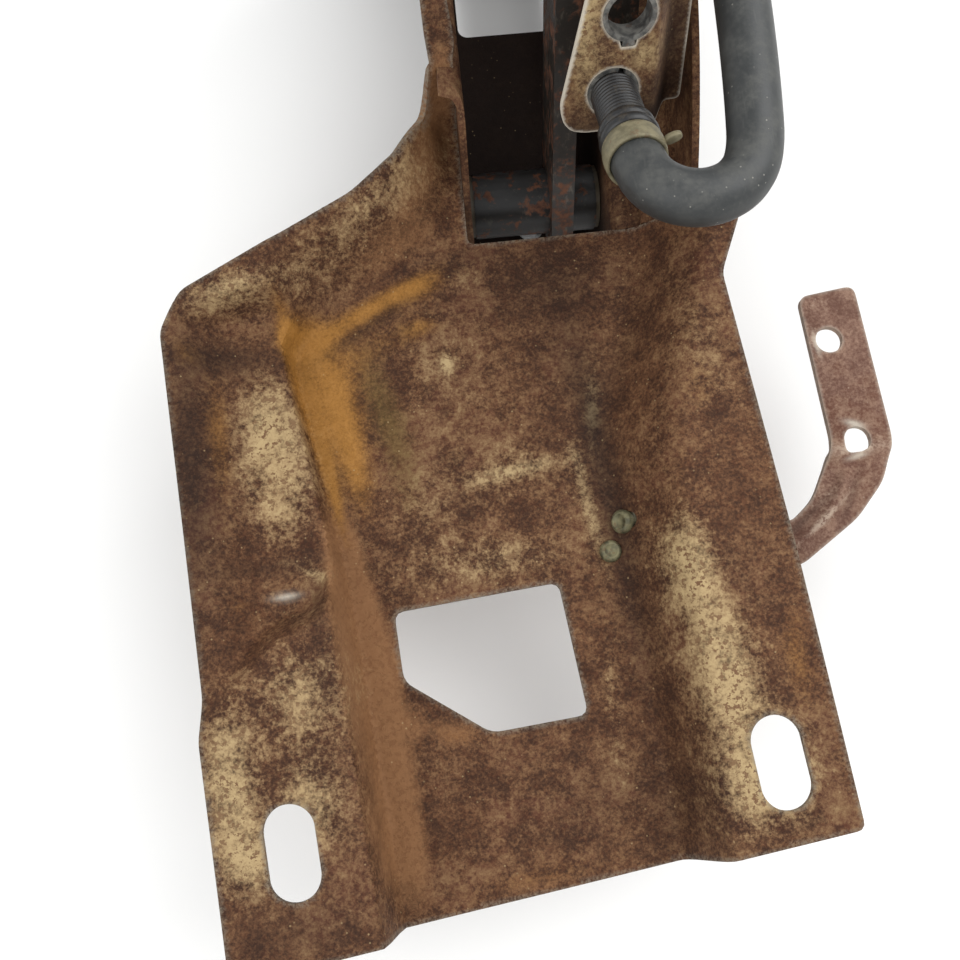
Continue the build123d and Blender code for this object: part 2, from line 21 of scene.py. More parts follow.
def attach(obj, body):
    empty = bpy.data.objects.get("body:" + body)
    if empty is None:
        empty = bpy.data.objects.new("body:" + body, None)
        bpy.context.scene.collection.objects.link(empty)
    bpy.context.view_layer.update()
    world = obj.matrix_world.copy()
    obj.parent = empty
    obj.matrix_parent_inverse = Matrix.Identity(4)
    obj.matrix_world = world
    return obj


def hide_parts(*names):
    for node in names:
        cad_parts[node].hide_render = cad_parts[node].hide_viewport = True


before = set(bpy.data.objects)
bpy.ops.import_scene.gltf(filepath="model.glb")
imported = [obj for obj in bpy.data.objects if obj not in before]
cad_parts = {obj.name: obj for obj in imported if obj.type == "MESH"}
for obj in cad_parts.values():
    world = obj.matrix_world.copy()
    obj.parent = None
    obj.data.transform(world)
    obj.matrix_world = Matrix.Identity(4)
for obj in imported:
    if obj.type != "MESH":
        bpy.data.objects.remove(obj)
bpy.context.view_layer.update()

log = logging.getLogger("bracket")
MM = 0.001
SHEET = 2.2
SMALLEST_TRIANGLE = 0.02  # twice the area, in square millimetres
HEX_ROW = 0.866  # distance between rows of a hexagonal grid of step 1
EDGE_BEVEL, EDGE_ANGLE = 0.35, 50
# How far in from a cut edge the edge wear (partly a painted highlight) and the painted highlight
# reach, in millimetres.
WEAR_AND_HIGHLIGHT_WIDTH, PAINTED_HIGHLIGHT_WIDTH = 0.5, 0.4
# Marks stored on the points: one is painted shade, one a painted highlight, and the edge wear mark
# is partly a painted highlight.
MARKS = ("pale", "ochre", "tan", "painted_shade", "worn_and_highlight", "olive", "painted_highlight")


# ------------------------------------------------------------------ places shared with the CAD
@dataclass(frozen=True)
class Place:
    """A local frame: origin in millimetres and three unit axes."""

    origin: np.ndarray
    x: np.ndarray
    y: np.ndarray
    z: np.ndarray

    def world(self, points: np.ndarray) -> np.ndarray:
        """Row-frame millimetres of local points: origin plus each coordinate along its axis.

        Args:
            points: array of shape (..., 3).

        Returns:
            Array of the same shape.
        """
        axes = np.stack([self.x, self.y, self.z])
        return np.asarray(points, float) @ axes + self.origin


def place(origin: tuple, x: tuple, z: tuple) -> Place:
    """Local frame from its origin and its x and z directions.

    Args:
        origin: millimetres in the row frame.
        x: direction of the local x axis.
        z: direction of the local z axis, square to x.

    Returns:
        The frame with y = z cross x.
    """
    x_axis = np.array(x, float) / np.linalg.norm(x)
    z_axis = np.array(z, float) / np.linalg.norm(z)
    return Place(np.array(origin, float), x_axis, np.cross(z_axis, x_axis), z_axis)


LEAN = math.radians(25.8)
SWITCH_TURN = math.radians(2.0)
WIDE_TURN = math.radians(5.0)
WIDE_ORIGIN = (-28.0, -250.0, -35.0)
PIVOT = (0.0, -145.0, -60.0)

WIDE = place(WIDE_ORIGIN, (math.cos(WIDE_TURN), math.sin(WIDE_TURN), 0), (0, 0, 1))
SQUARE = place(WIDE_ORIGIN, (1, 0, 0), (0, 0, 1))
SWITCH = place(
    (20.1, -150.4, 15.0),
    (math.cos(SWITCH_TURN), math.sin(SWITCH_TURN), 0),
    (
        math.sin(SWITCH_TURN) * math.cos(LEAN),
        -math.cos(SWITCH_TURN) * math.cos(LEAN),
        math.sin(LEAN),
    ),
)
ARM = place((6.0, PIVOT[1], PIVOT[2]), (0, math.cos(LEAN), -math.sin(LEAN)), (1, 0, 0))


# ------------------------------------------------------------------ shader maths
def srgb(red: int, green: int, blue: int) -> tuple[float, float, float, float]:
    """Scene-linear colour of an eight-bit display colour.

    Args:
        red: 0 to 255.
        green: 0 to 255.
        blue: 0 to 255.

    Returns:
        Linear red, green, blue and 1.
    """
    def line(value: int) -> float:
        """One channel, by the display curve."""
        share = value / 255
        return share / 12.92 if share <= 0.04045 else ((share + 0.055) / 1.055) ** 2.4

    return line(red), line(green), line(blue), 1.0


class Sock:
    """A shader socket that Python's operators work on, by adding Math nodes."""

    def __init__(self, tree: Tree, socket: bpy.types.NodeSocket) -> None:
        """Wrap one output socket of a tree."""
        self.tree = tree
        self.socket = socket

    def _math(self, operation: str, first: object, second: object) -> Sock:
        """Add one Math node of two values."""
        return self.tree.add("ShaderNodeMath", {"operation": operation}, {0: first, 1: second})

    def __add__(self, other: object) -> Sock:
        """Sum."""
        return self._math("ADD", self, other)

    __radd__ = __add__

    def __sub__(self, other: object) -> Sock:
        """Difference."""
        return self._math("SUBTRACT", self, other)

    def __rsub__(self, other: object) -> Sock:
        """Difference, with the number first."""
        return self._math("SUBTRACT", other, self)

    def __mul__(self, other: object) -> Sock:
        """Product."""
        return self._math("MULTIPLY", self, other)

    __rmul__ = __mul__

    def band(self, low: float, high: float) -> Sock:
        """0 below low, 1 above high, smooth between.

        Args:
            low: value that gives 0.
            high: value that gives 1.

        Returns:
            The smooth step.
        """
        return self.tree.add(
            "ShaderNodeMapRange",
            {"interpolation_type": "SMOOTHSTEP"},
            {"Value": self, "From Min": low, "From Max": high},
        )


class Tree:
    """One material's node tree."""

    def __init__(self, name: str) -> None:
        """Start a material with an empty tree."""
        self.material = bpy.data.materials.new(name)
        self.material.use_nodes = True
        self.nodes = self.material.node_tree.nodes
        self.links = self.material.node_tree.links
        self.nodes.clear()
        spot = self.add("ShaderNodeTexCoord", {}, {}, "Object")
        self.spot = self.add(
            "ShaderNodeVectorMath", {"operation": "SCALE"}, {0: spot, "Scale": 1 / MM}
        )

    def add(self, kind: str, settings: dict, inputs: dict, output: str | int = 0) -> Sock:
        """Add a node.

        Args:
            kind: the node's type name.
            settings: node properties, set first.
            inputs: socket name or number to a value or a Sock.
            output: which output is returned.

        Returns:
            The chosen output.
        """
        node = self.nodes.new(kind)
        for key, value in settings.items():
            setattr(node, key, value)
        for key, value in inputs.items():
            if isinstance(value, Sock):
                self.links.new(value.socket, node.inputs[key])
            else:
                node.inputs[key].default_value = value
        return Sock(self, node.outputs[output])

    def noise(self, size: float, detail: float = 2.0, rough: float = 0.55,
              stretch: tuple | None = None, offset: float = 0.0) -> Sock:
        """Noise whose blotches are about size millimetres across.

        Args:
            size: blotch size.
            detail: octaves.
            rough: weight of the finer octaves.
            stretch: scale along each axis, for streaks.
            offset: moves the pattern, so that two layers differ.

        Returns:
            A value around 0.5.
        """
        spot: Sock = self.spot
        if stretch or offset:
            spot = self.add(
                "ShaderNodeMapping", {},
                {"Vector": spot, "Location": (offset,) * 3, "Scale": stretch or (1, 1, 1)},
            )
        inputs = {"Vector": spot, "Scale": 1 / size, "Detail": detail, "Roughness": rough}
        return self.add("ShaderNodeTexNoise", {}, inputs, "Fac")

    def cells(self, size: float) -> Sock:
        """Distance to the nearest of scattered points about size millimetres apart."""
        inputs = {"Vector": self.spot, "Scale": 1 / size}
        return self.add("ShaderNodeTexVoronoi", {}, inputs, "Distance")

    def height(self) -> Sock:
        """Millimetres above the row frame's origin."""
        return self.add("ShaderNodeSeparateXYZ", {}, {"Vector": self.spot}, "Z")

    def mark(self, name: str) -> Sock:
        """A number stored on the piece's points."""
        return self.add("ShaderNodeAttribute", {"attribute_name": name}, {}, "Fac")

    def mix(self, amount: object, first: object, second: object) -> Sock:
        """Blend two colours.

        Args:
            amount: 0 for the first, 1 for the second.
            first: a colour or Sock.
            second: a colour or Sock.

        Returns:
            The blended colour.
        """
        node = self.nodes.new("ShaderNodeMix")
        node.data_type = "RGBA"
        for key, value in ((0, amount), (6, first), (7, second)):
            if isinstance(value, Sock):
                self.links.new(value.socket, node.inputs[key])
            else:
                node.inputs[key].default_value = value
        return Sock(self, node.outputs[2])

    def bump(self, height: Sock, depth: float) -> Sock:
        """Surface relief.

        Args:
            height: 0 to 1.
            depth: millimetres that 1 stands for.

        Returns:
            A normal.
        """
        inputs = {"Height": height, "Distance": depth * MM, "Strength": 1.0}
        return self.add("ShaderNodeBump", {}, inputs)

    def finish(self, colour: object, rough: object, metal: object = 0.0,
               normal: Sock | None = None, **fixed: float) -> bpy.types.Material:
        """Close the tree with the surface shader.

        Args:
            colour: base colour.
            rough: roughness.
            metal: metallic share.
            normal: relief, if any.
            fixed: other shader sockets by name, underscores for spaces.

        Returns:
            The material.
        """
        inputs = {"Base Color": colour, "Roughness": rough, "Metallic": metal}
        inputs |= {key.replace("_", " "): value for key, value in fixed.items()}
        if normal is not None:
            inputs["Normal"] = normal
        shader = self.add("ShaderNodeBsdfPrincipled", {}, inputs)
        output = self.nodes.new("ShaderNodeOutputMaterial")
        self.links.new(shader.socket, output.inputs["Surface"])
        return self.material


# ------------------------------------------------------------------ finishes
@dataclass(frozen=True)
class Rust:
    """Rusted sheet steel: dark and middling brown, khaki film, red-brown scabs, ochre stains,
    painted shade and painted highlights.
    """

    name: str = "rusted_sheet"
    dark: tuple = srgb(54, 31, 17)
    middle: tuple = srgb(106, 71, 46)
    red: tuple = srgb(88, 49, 33)
    khaki: tuple = srgb(136, 107, 74)
    pale: tuple = srgb(178, 154, 112)
    scab: tuple = srgb(82, 40, 20)
    ochre: tuple = srgb(172, 120, 50)
    amber: tuple = srgb(120, 80, 32)
    olive: tuple = srgb(92, 76, 34)
    tan: tuple = srgb(138, 98, 64)
    # steel is worn bare metal at the edges and also stands for a painted highlight there; the next
    # two colours are painted shade and a painted highlight.
    steel: tuple = srgb(120, 116, 104)
    painted_shade: tuple = srgb(26, 13, 7)
    painted_highlight: tuple = srgb(214, 206, 190)
    base_pale: float = 0.12
    # Painted shade by depth on pieces without marks: none at the first height, the most at the
    # second.
    painted_shade_depths: tuple = (-20.0, -60.0)
    painted_shade_most: float = 0.0
    marked: bool = True

    def marks(self, tree: Tree) -> dict:
        """Where each mark is strong: from the piece's points, or even, with painted shade that
        grows with depth.

        Args:
            tree: the material's tree.

        Returns:
            Mark name to a number or Sock.
        """
        if self.marked:
            return {name: tree.mark(name) for name in MARKS}
        # Painted shade: the deeper the sheet lies, the darker, for the shadowed inside of the neck.
        depth = tree.height().band(*self.painted_shade_depths) * self.painted_shade_most
        return dict.fromkeys(MARKS, 0.0) | {"pale": self.base_pale, "painted_shade": depth}

    def material(self) -> bpy.types.Material:
        """Layers of rust, each laid over the last by a noise that its mark shifts; then steel at
        the cut edges, partly a painted highlight, then painted shade and a painted highlight.

        Returns:
            The material.
        """
        tree = Tree(self.name)
        mark = self.marks(tree)
        fine = tree.noise(1.0, 5.0, 0.76)
        mottle = tree.noise(2.1, 4.0, 0.7, offset=40.0)
        blotch = tree.noise(9.0, 4.0, 0.62, offset=11.0)
        broad = tree.noise(32.0, 3.0, 0.55, offset=23.0)
        body = (fine * 0.5 + mottle * 0.2 + blotch * 0.3).band(0.4, 0.6)
        colour = tree.mix(body, self.dark, self.middle)
        ruddy = (broad * 0.6 + blotch * 0.4).band(0.5, 0.62)
        colour = tree.mix(ruddy * 0.7, colour, self.red)
        film = fine * 0.3 + mottle * 0.35 + blotch * 0.35 + broad * 0.25 + mark["pale"] * 0.12
        colour = tree.mix(film.band(0.6, 0.8) * 0.75, colour, self.khaki)
        smooth_tan = (fine * 0.35 + blotch * 0.3 + mark["tan"] * 0.75).band(0.55, 1.0)
        colour = tree.mix(smooth_tan * 0.8, colour, self.tan)
        bare = (fine * 0.35 + mottle * 0.45 + blotch * 0.5 + mark["pale"] * 0.5).band(0.78, 1.16)
        colour = tree.mix(bare * 0.9, colour, self.pale)
        scabs = tree.noise(1.7, 4.0, 0.68, offset=70.0).band(0.53, 0.58)
        colour = tree.mix(scabs * (bare * 0.62 + 0.2), colour, self.scab)
        green = (blotch * 0.5 + mottle * 0.4 + mark["olive"] * 0.6).band(0.6, 1.25)
        colour = tree.mix(green * 0.75, colour, self.olive)
        stain = (mottle * 0.4 + blotch * 0.4 + fine * 0.3 + mark["ochre"] * 0.7).band(0.66, 1.2)
        hue = (fine * 0.7 + mark["ochre"] * 0.5 + blotch * 0.3).band(0.6, 1.1)
        colour = tree.mix(stain * 0.72, colour, tree.mix(hue, self.amber, self.ochre))
        # Steel at the cut edges: partly worn bare metal, partly a painted highlight along the edge.
        colour = tree.mix(fine.band(0.38, 0.6) * mark["worn_and_highlight"], colour, self.steel)
        # Painted shade: near-black laid over where this mark is strong, at wall feet, hollows and
        # creases.
        colour = tree.mix(mark["painted_shade"], colour, self.painted_shade)
        speck = tree.cells(2.9).band(0.13, 0.05) * tree.noise(11.0, offset=70.0).band(0.46, 0.6)
        colour = tree.mix(speck * 0.5, colour, self.pale)
        # Painted highlight: near-white where this mark is strong.
        colour = tree.mix(mark["painted_highlight"], colour, self.painted_highlight)
        rough = 0.74 - bare * 0.14 - stain * 0.1
        relief = fine * 0.5 + mottle * 0.5 - scabs * 0.2 + blotch * 0.3
        return tree.finish(colour, rough, 0.0, tree.bump(relief, 0.3), Specular_IOR_Level=0.25)


@dataclass(frozen=True)
class WornPaint:
    """Old black paint on steel, dull, with rust coming through."""

    name: str = "worn_black_paint"
    paint: tuple = srgb(38, 34, 30)
    chalk: tuple = srgb(104, 96, 84)
    rust: tuple = srgb(58, 30, 16)
    rust_share: float = 0.5

    def material(self) -> bpy.types.Material:
        """Paint where a coarse noise is low, rust where it is high, chalky streaks over both.

        Returns:
            The material.
        """
        tree = Tree(self.name)
        grain = tree.noise(0.8, 3.0, 0.6)
        patch = tree.noise(8.0, 4.0, 0.6)
        mottle = tree.noise(2.4, 3.0, 0.6)
        bare = (patch * 0.7 + mottle * 0.4).band(0.62 - 0.2 * self.rust_share, 0.66)
        rust = tree.mix(mottle.band(0.35, 0.65), self.rust, srgb(96, 58, 36))
        colour = tree.mix(bare, self.paint, rust)
        chalk = tree.noise(3.0, 4.0, 0.7, stretch=(1, 1, 0.3), offset=20.0).band(0.56, 0.72)
        colour = tree.mix(chalk * 0.5, colour, self.chalk)
        relief = grain * 0.3 + bare * 0.3 + mottle * 0.4
        return tree.finish(colour, 0.42 + bare * 0.35, 0.0, tree.bump(relief, 0.15))


@dataclass(frozen=True)
class DustyRubber:
    """Black rubber, dulled by dust, with pale grit and fine scuffs."""

    name: str = "dusty_rubber"
    rubber: tuple = srgb(48, 50, 50)
    dust: tuple = srgb(84, 84, 80)
    fleck: tuple = srgb(196, 192, 180)

    def material(self) -> bpy.types.Material:
        """Dust settles by a broad noise and more on faces that look up.

        Returns:
            The material.
        """
        tree = Tree(self.name)
        up = tree.add("ShaderNodeNewGeometry", {}, {}, "Normal")
        level = tree.add("ShaderNodeSeparateXYZ", {}, {"Vector": up}, "Z").band(-0.2, 1.0)
        film = tree.noise(7.0, 4.0, 0.6) * 0.7 + tree.noise(1.4, 3.0, 0.6) * 0.35
        colour = tree.mix(film.band(0.42, 0.75) * (level * 0.55 + 0.15), self.rubber, self.dust)
        grit = tree.cells(2.3).band(0.13, 0.07) * tree.noise(8.0, offset=31.0).band(0.47, 0.6)
        colour = tree.mix(grit * 0.35, colour, self.fleck)
        scuff = tree.noise(1.2, 2.0, 0.5, stretch=(1, 0.12, 1), offset=5.0).band(0.62, 0.7)
        colour = tree.mix(scuff * 0.18, colour, self.dust)
        rough = film.band(0.3, 0.8) * 0.25 + 0.4
        return tree.finish(colour, rough, 0.0, tree.bump(tree.noise(0.7, 3.0) * 0.6 + grit, 0.06))


@dataclass(frozen=True)
class Moulded:
    """Moulded plastic or nylon with a fine grain and a little dirt."""

    name: str
    colour: tuple
    dirt: tuple = srgb(96, 84, 66)
    dirt_share: float = 0.35
    rough: float = 0.42

    def material(self) -> bpy.types.Material:
        """Even colour, with dirt where a middling noise is high.

        Returns:
            The material.
        """
        tree = Tree(self.name)
        dirt = (tree.noise(4.0, 4.0, 0.65) * 0.7 + tree.noise(0.9, 2.0) * 0.3).band(0.48, 0.72)
        colour = tree.mix(dirt * self.dirt_share, self.colour, self.dirt)
        rough = dirt * 0.3 + self.rough
        return tree.finish(colour, rough, 0.0, tree.bump(tree.noise(0.5, 2.0), 0.03))


@dataclass(frozen=True)
class DullMetal:
    """Plated or bare steel, cloudy, with rust specks."""

    name: str
    bright: tuple
    dull: tuple
    rust: tuple = srgb(104, 66, 40)
    rust_share: float = 0.35
    rough: float = 0.42
    metal: float = 0.75

    def material(self) -> bpy.types.Material:
        """Cloudy plate between two tones, then rust specks.

        Returns:
            The material.
        """
        tree = Tree(self.name)
        cloud = tree.noise(3.0, 4.0, 0.6).band(0.35, 0.65)
        speck = tree.noise(1.3, 4.0, 0.7) * 0.7 + tree.noise(5.0, 2.0, offset=12.0) * 0.4
        spots = speck.band(0.6, 0.68) * self.rust_share
        colour = tree.mix(spots, tree.mix(cloud, self.dull, self.bright), self.rust)
        rough = cloud * 0.15 + spots * 0.5 + self.rough
        metal = self.metal - spots * self.metal
        relief = tree.noise(0.6, 3.0, 0.6) * 0.6 + spots
        return tree.finish(colour, rough, metal, tree.bump(relief, 0.05))


class Finish(Enum):
    """Every finish on the object."""

    SHEET = Rust()
    # The neck's sheets: rust with painted shade that darkens them towards the depths of the neck.
    DARK_SHEET = Rust(name="rusted_neck_sheet_painted_shade", marked=False, painted_shade_most=0.96)
    STRAP = Rust(
        name="rusted_strap", dark=srgb(98, 68, 56), middle=srgb(136, 106, 90),
        khaki=srgb(150, 122, 102), pale=srgb(170, 150, 132), scab=srgb(98, 62, 48),
    )
    PLATE = Rust(name="rusted_switch_plate", dark=srgb(66, 42, 28), middle=srgb(112, 86, 62))
    BAND = DullMetal("olive_clamp", srgb(132, 124, 98), srgb(104, 98, 76), metal=0.3, rough=0.5)
    ARM = WornPaint()
    # The hub: black paint, made darker than the arm's as painted shade inside the neck.
    HUB = WornPaint(
        name="hub_paint_and_painted_shade", paint=srgb(18, 16, 14), chalk=srgb(70, 64, 56), rust_share=0.2
    )
    RUBBER = DustyRubber()
    PAD = DustyRubber(name="pad_rubber", rubber=srgb(40, 40, 40))
    BLACK = Moulded("black_moulding", srgb(26, 26, 27), rough=0.36)
    NYLON = Moulded("aged_nylon", srgb(70, 60, 44), dirt_share=0.5)
    ZINC = DullMetal("olive_zinc", srgb(122, 116, 86), srgb(72, 70, 52), metal=0.4, rough=0.5)
    SPRING_STEEL = DullMetal("grey_spring_steel", srgb(138, 136, 130), srgb(84, 84, 82), metal=0.6)

    def on(self, piece: bpy.types.Object) -> bpy.types.Object:
        """Give the finish to a piece, in every material slot it has.

        Args:
            piece: the object.

        Returns:
            The same object.
        """
        made = bpy.data.materials.get(self.value.name) or self.value.material()
        if not piece.data.materials:
            piece.data.materials.append(made)
        for slot in piece.material_slots:
            slot.material = made
        return piece


# ------------------------------------------------------------------ plane geometry
def rounded(corners: np.ndarray, radius: float, step: float = 1.5) -> np.ndarray:
    """Closed loop through rounded corners, in even steps.

    Each corner is a parabola that leaves its two sides at most radius away from the corner, or
    0.45 of the shorter side.

    Args:
        corners: (n, 2) corner points in order.
        radius: how far back along each side the rounding starts.
        step: distance between the points made.

    Returns:
        (m, 2) points.
    """
    corners = np.asarray(corners, float)
    before, after = np.roll(corners, 1, axis=0), np.roll(corners, -1, axis=0)
    run_in, run_out = before - corners, after - corners
    length_in = np.linalg.norm(run_in, axis=1, keepdims=True)
    length_out = np.linalg.norm(run_out, axis=1, keepdims=True)
    back = np.minimum(radius, 0.45 * np.minimum(length_in, length_out))
    start = corners + run_in / length_in * back
    end = corners + run_out / length_out * back
    t = np.linspace(0, 1, 9)[None, :, None]
    bends = (1 - t) ** 2 * start[:, None] + 2 * t * (1 - t) * corners[:, None] + t**2 * end[:, None]
    path = bends.reshape(-1, 2)
    path = np.vstack([path, path[:1]])
    run = np.concatenate([[0], np.cumsum(np.linalg.norm(np.diff(path, axis=0), axis=1))])
    wanted = np.linspace(0, run[-1], max(8, int(run[-1] / step)), endpoint=False)
    return np.stack([np.interp(wanted, run, path[:, axis]) for axis in (0, 1)], axis=1)


def inside(points: np.ndarray, loop: np.ndarray) -> np.ndarray:
    """Which points lie in a closed loop, by counting the sides a ray crosses.

    Args:
        points: (n, 2).
        loop: (m, 2).

    Returns:
        (n,) of bool.
    """
    x, y = points[:, None, 0], points[:, None, 1]
    first, second = loop[None], np.roll(loop, -1, axis=0)[None]
    spans = (first[..., 1] > y) != (second[..., 1] > y)
    rise = second[..., 1] - first[..., 1]
    rise = np.where(rise == 0, 1e-12, rise)
    at = first[..., 0] + (y - first[..., 1]) / rise * (second[..., 0] - first[..., 0])
    return np.count_nonzero(spans & (x < at), axis=1) % 2 == 1


def reach(points: np.ndarray, loop: np.ndarray) -> np.ndarray:
    """Distance from each point to the nearest side of a closed loop.

    Args:
        points: (n, 2).
        loop: (m, 2).

    Returns:
        (n,) distances, never negative.
    """
    side = np.roll(loop, -1, axis=0) - loop
    gap = points[:, None] - loop[None]
    along = np.einsum("nmk,mk->nm", gap, side) / np.einsum("mk,mk->m", side, side)
    near = gap - np.clip(along, 0, 1)[..., None] * side
    return np.sqrt(np.einsum("nmk,nmk->nm", near, near).min(axis=1))


def smooth(value: np.ndarray) -> np.ndarray:
    """Smooth step of values, held between 0 and 1."""
    held = np.clip(value, 0, 1)
    return held * held * (3 - 2 * held)


def make_mesh(name: str, points: np.ndarray, faces: list) -> bpy.types.Object:
    """Object of a mesh given in millimetres of the row frame, smooth shaded.

    Args:
        name: object name.
        points: (n, 3) millimetres.
        faces: tuples of point numbers.

    Returns:
        The object, linked to the scene.
    """
    mesh = bpy.data.meshes.new(name)
    mesh.from_pydata((np.asarray(points) * MM).tolist(), [], faces)
    mesh.polygons.foreach_set("use_smooth", np.ones(len(mesh.polygons), bool))
    mesh.update()
    made = bpy.data.objects.new(name, mesh)
    bpy.context.collection.objects.link(made)
    log.info("%s: %d points, %d faces", name, len(mesh.vertices), len(mesh.polygons))
    return made


@dataclass
class Skin:
    """Points in millimetres and the faces between them."""

    points: np.ndarray
    faces: list

    def __add__(self, other: Skin) -> Skin:
        """Both skins as one."""
        shift = len(self.points)
        moved = [tuple(number + shift for number in face) for face in other.faces]
        return Skin(np.vstack([self.points, other.points]), self.faces + moved)


def skin(rings: np.ndarray, closed: bool = False) -> Skin:
    """Quads between neighbouring rings, with the two ends closed unless they meet.

    Args:
        rings: (rings, points, 3) millimetres.
        closed: whether the last ring joins the first.

    Returns:
        The skin.
    """
    count, size = rings.shape[:2]
    rows = np.arange(count if closed else count - 1)
    here = (rows[:, None] * size + np.arange(size)[None]).ravel()
    side = (rows[:, None] * size + (np.arange(size)[None] + 1) % size).ravel()
    total = count * size
    quads = np.stack([here, side, (side + size) % total, (here + size) % total], axis=1)
    faces = [tuple(quad) for quad in quads.tolist()]
    if not closed:
        faces.append(tuple(range(size - 1, -1, -1)))
        faces.append(tuple(range(total - size, total)))
    return Skin(rings.reshape(-1, 3), faces)


def turned(where: Place, profile: np.ndarray, ring: bool = False, facets: int = 72) -> Skin:
    """Profile turned about a place's z axis: each (radius, height) becomes a circle.

    Args:
        where: the local frame.
        profile: (n, 2) radius and height, from low to high.
        ring: whether the profile is closed, as for a band.
        facets: points round each circle.

    Returns:
        The skin.
    """
    profile = np.asarray(profile, float)
    angle = np.linspace(0, 2 * math.pi, facets, endpoint=False)
    radius, height = profile[:, :1], profile[:, 1:]
    x, y = radius * np.cos(angle), radius * np.sin(angle)
    local = np.stack([x, y, np.broadcast_to(height, x.shape)], axis=-1)
    return skin(where.world(local), ring)


def skin_object(name: str, made: Skin) -> bpy.types.Object:
    """Object of a skin."""
    return make_mesh(name, made.points, made.faces)


def soften(piece: bpy.types.Object, width: float, angle: float) -> None:
    """Round the sharp edges of a piece, in two facets.

    Args:
        piece: the object.
        width: millimetres.
        angle: edges sharper than this, in degrees.
    """
    bevel = piece.modifiers.new("edges", "BEVEL")
    bevel.width, bevel.segments = width * MM, 2
    bevel.limit_method, bevel.angle_limit = "ANGLE", math.radians(angle)
    bevel.harden_normals = False


# ------------------------------------------------------------------ main pressing
@dataclass(frozen=True)
class Patch:
    """A soft-edged oval where one mark of the finish is stronger."""

    mark: str
    x: float
    y: float
    across: float
    along: float
    turn: float = 0.0
    amount: float = 1.0

    def at(self, points: np.ndarray) -> np.ndarray:
        """Strength of the patch at plan points: a Gaussian in its own turned axes.

        Args:
            points: (n, 2), millimetres.

        Returns:
            (n,) strengths.
        """
        turn = math.radians(self.turn)
        x, y = points[:, 0] - self.x, points[:, 1] - self.y
        u = (x * math.cos(turn) + y * math.sin(turn)) / self.across
        v = (y * math.cos(turn) - x * math.sin(turn)) / self.along
        return self.amount * np.exp(-(u * u + v * v))


def patches(rows: dict[str, tuple]) -> tuple[Patch, ...]:
    """Patches from rows of x, y, across, along, turn and amount, grouped by mark."""
    return tuple(Patch(mark, *row) for mark, group in rows.items() for row in group)


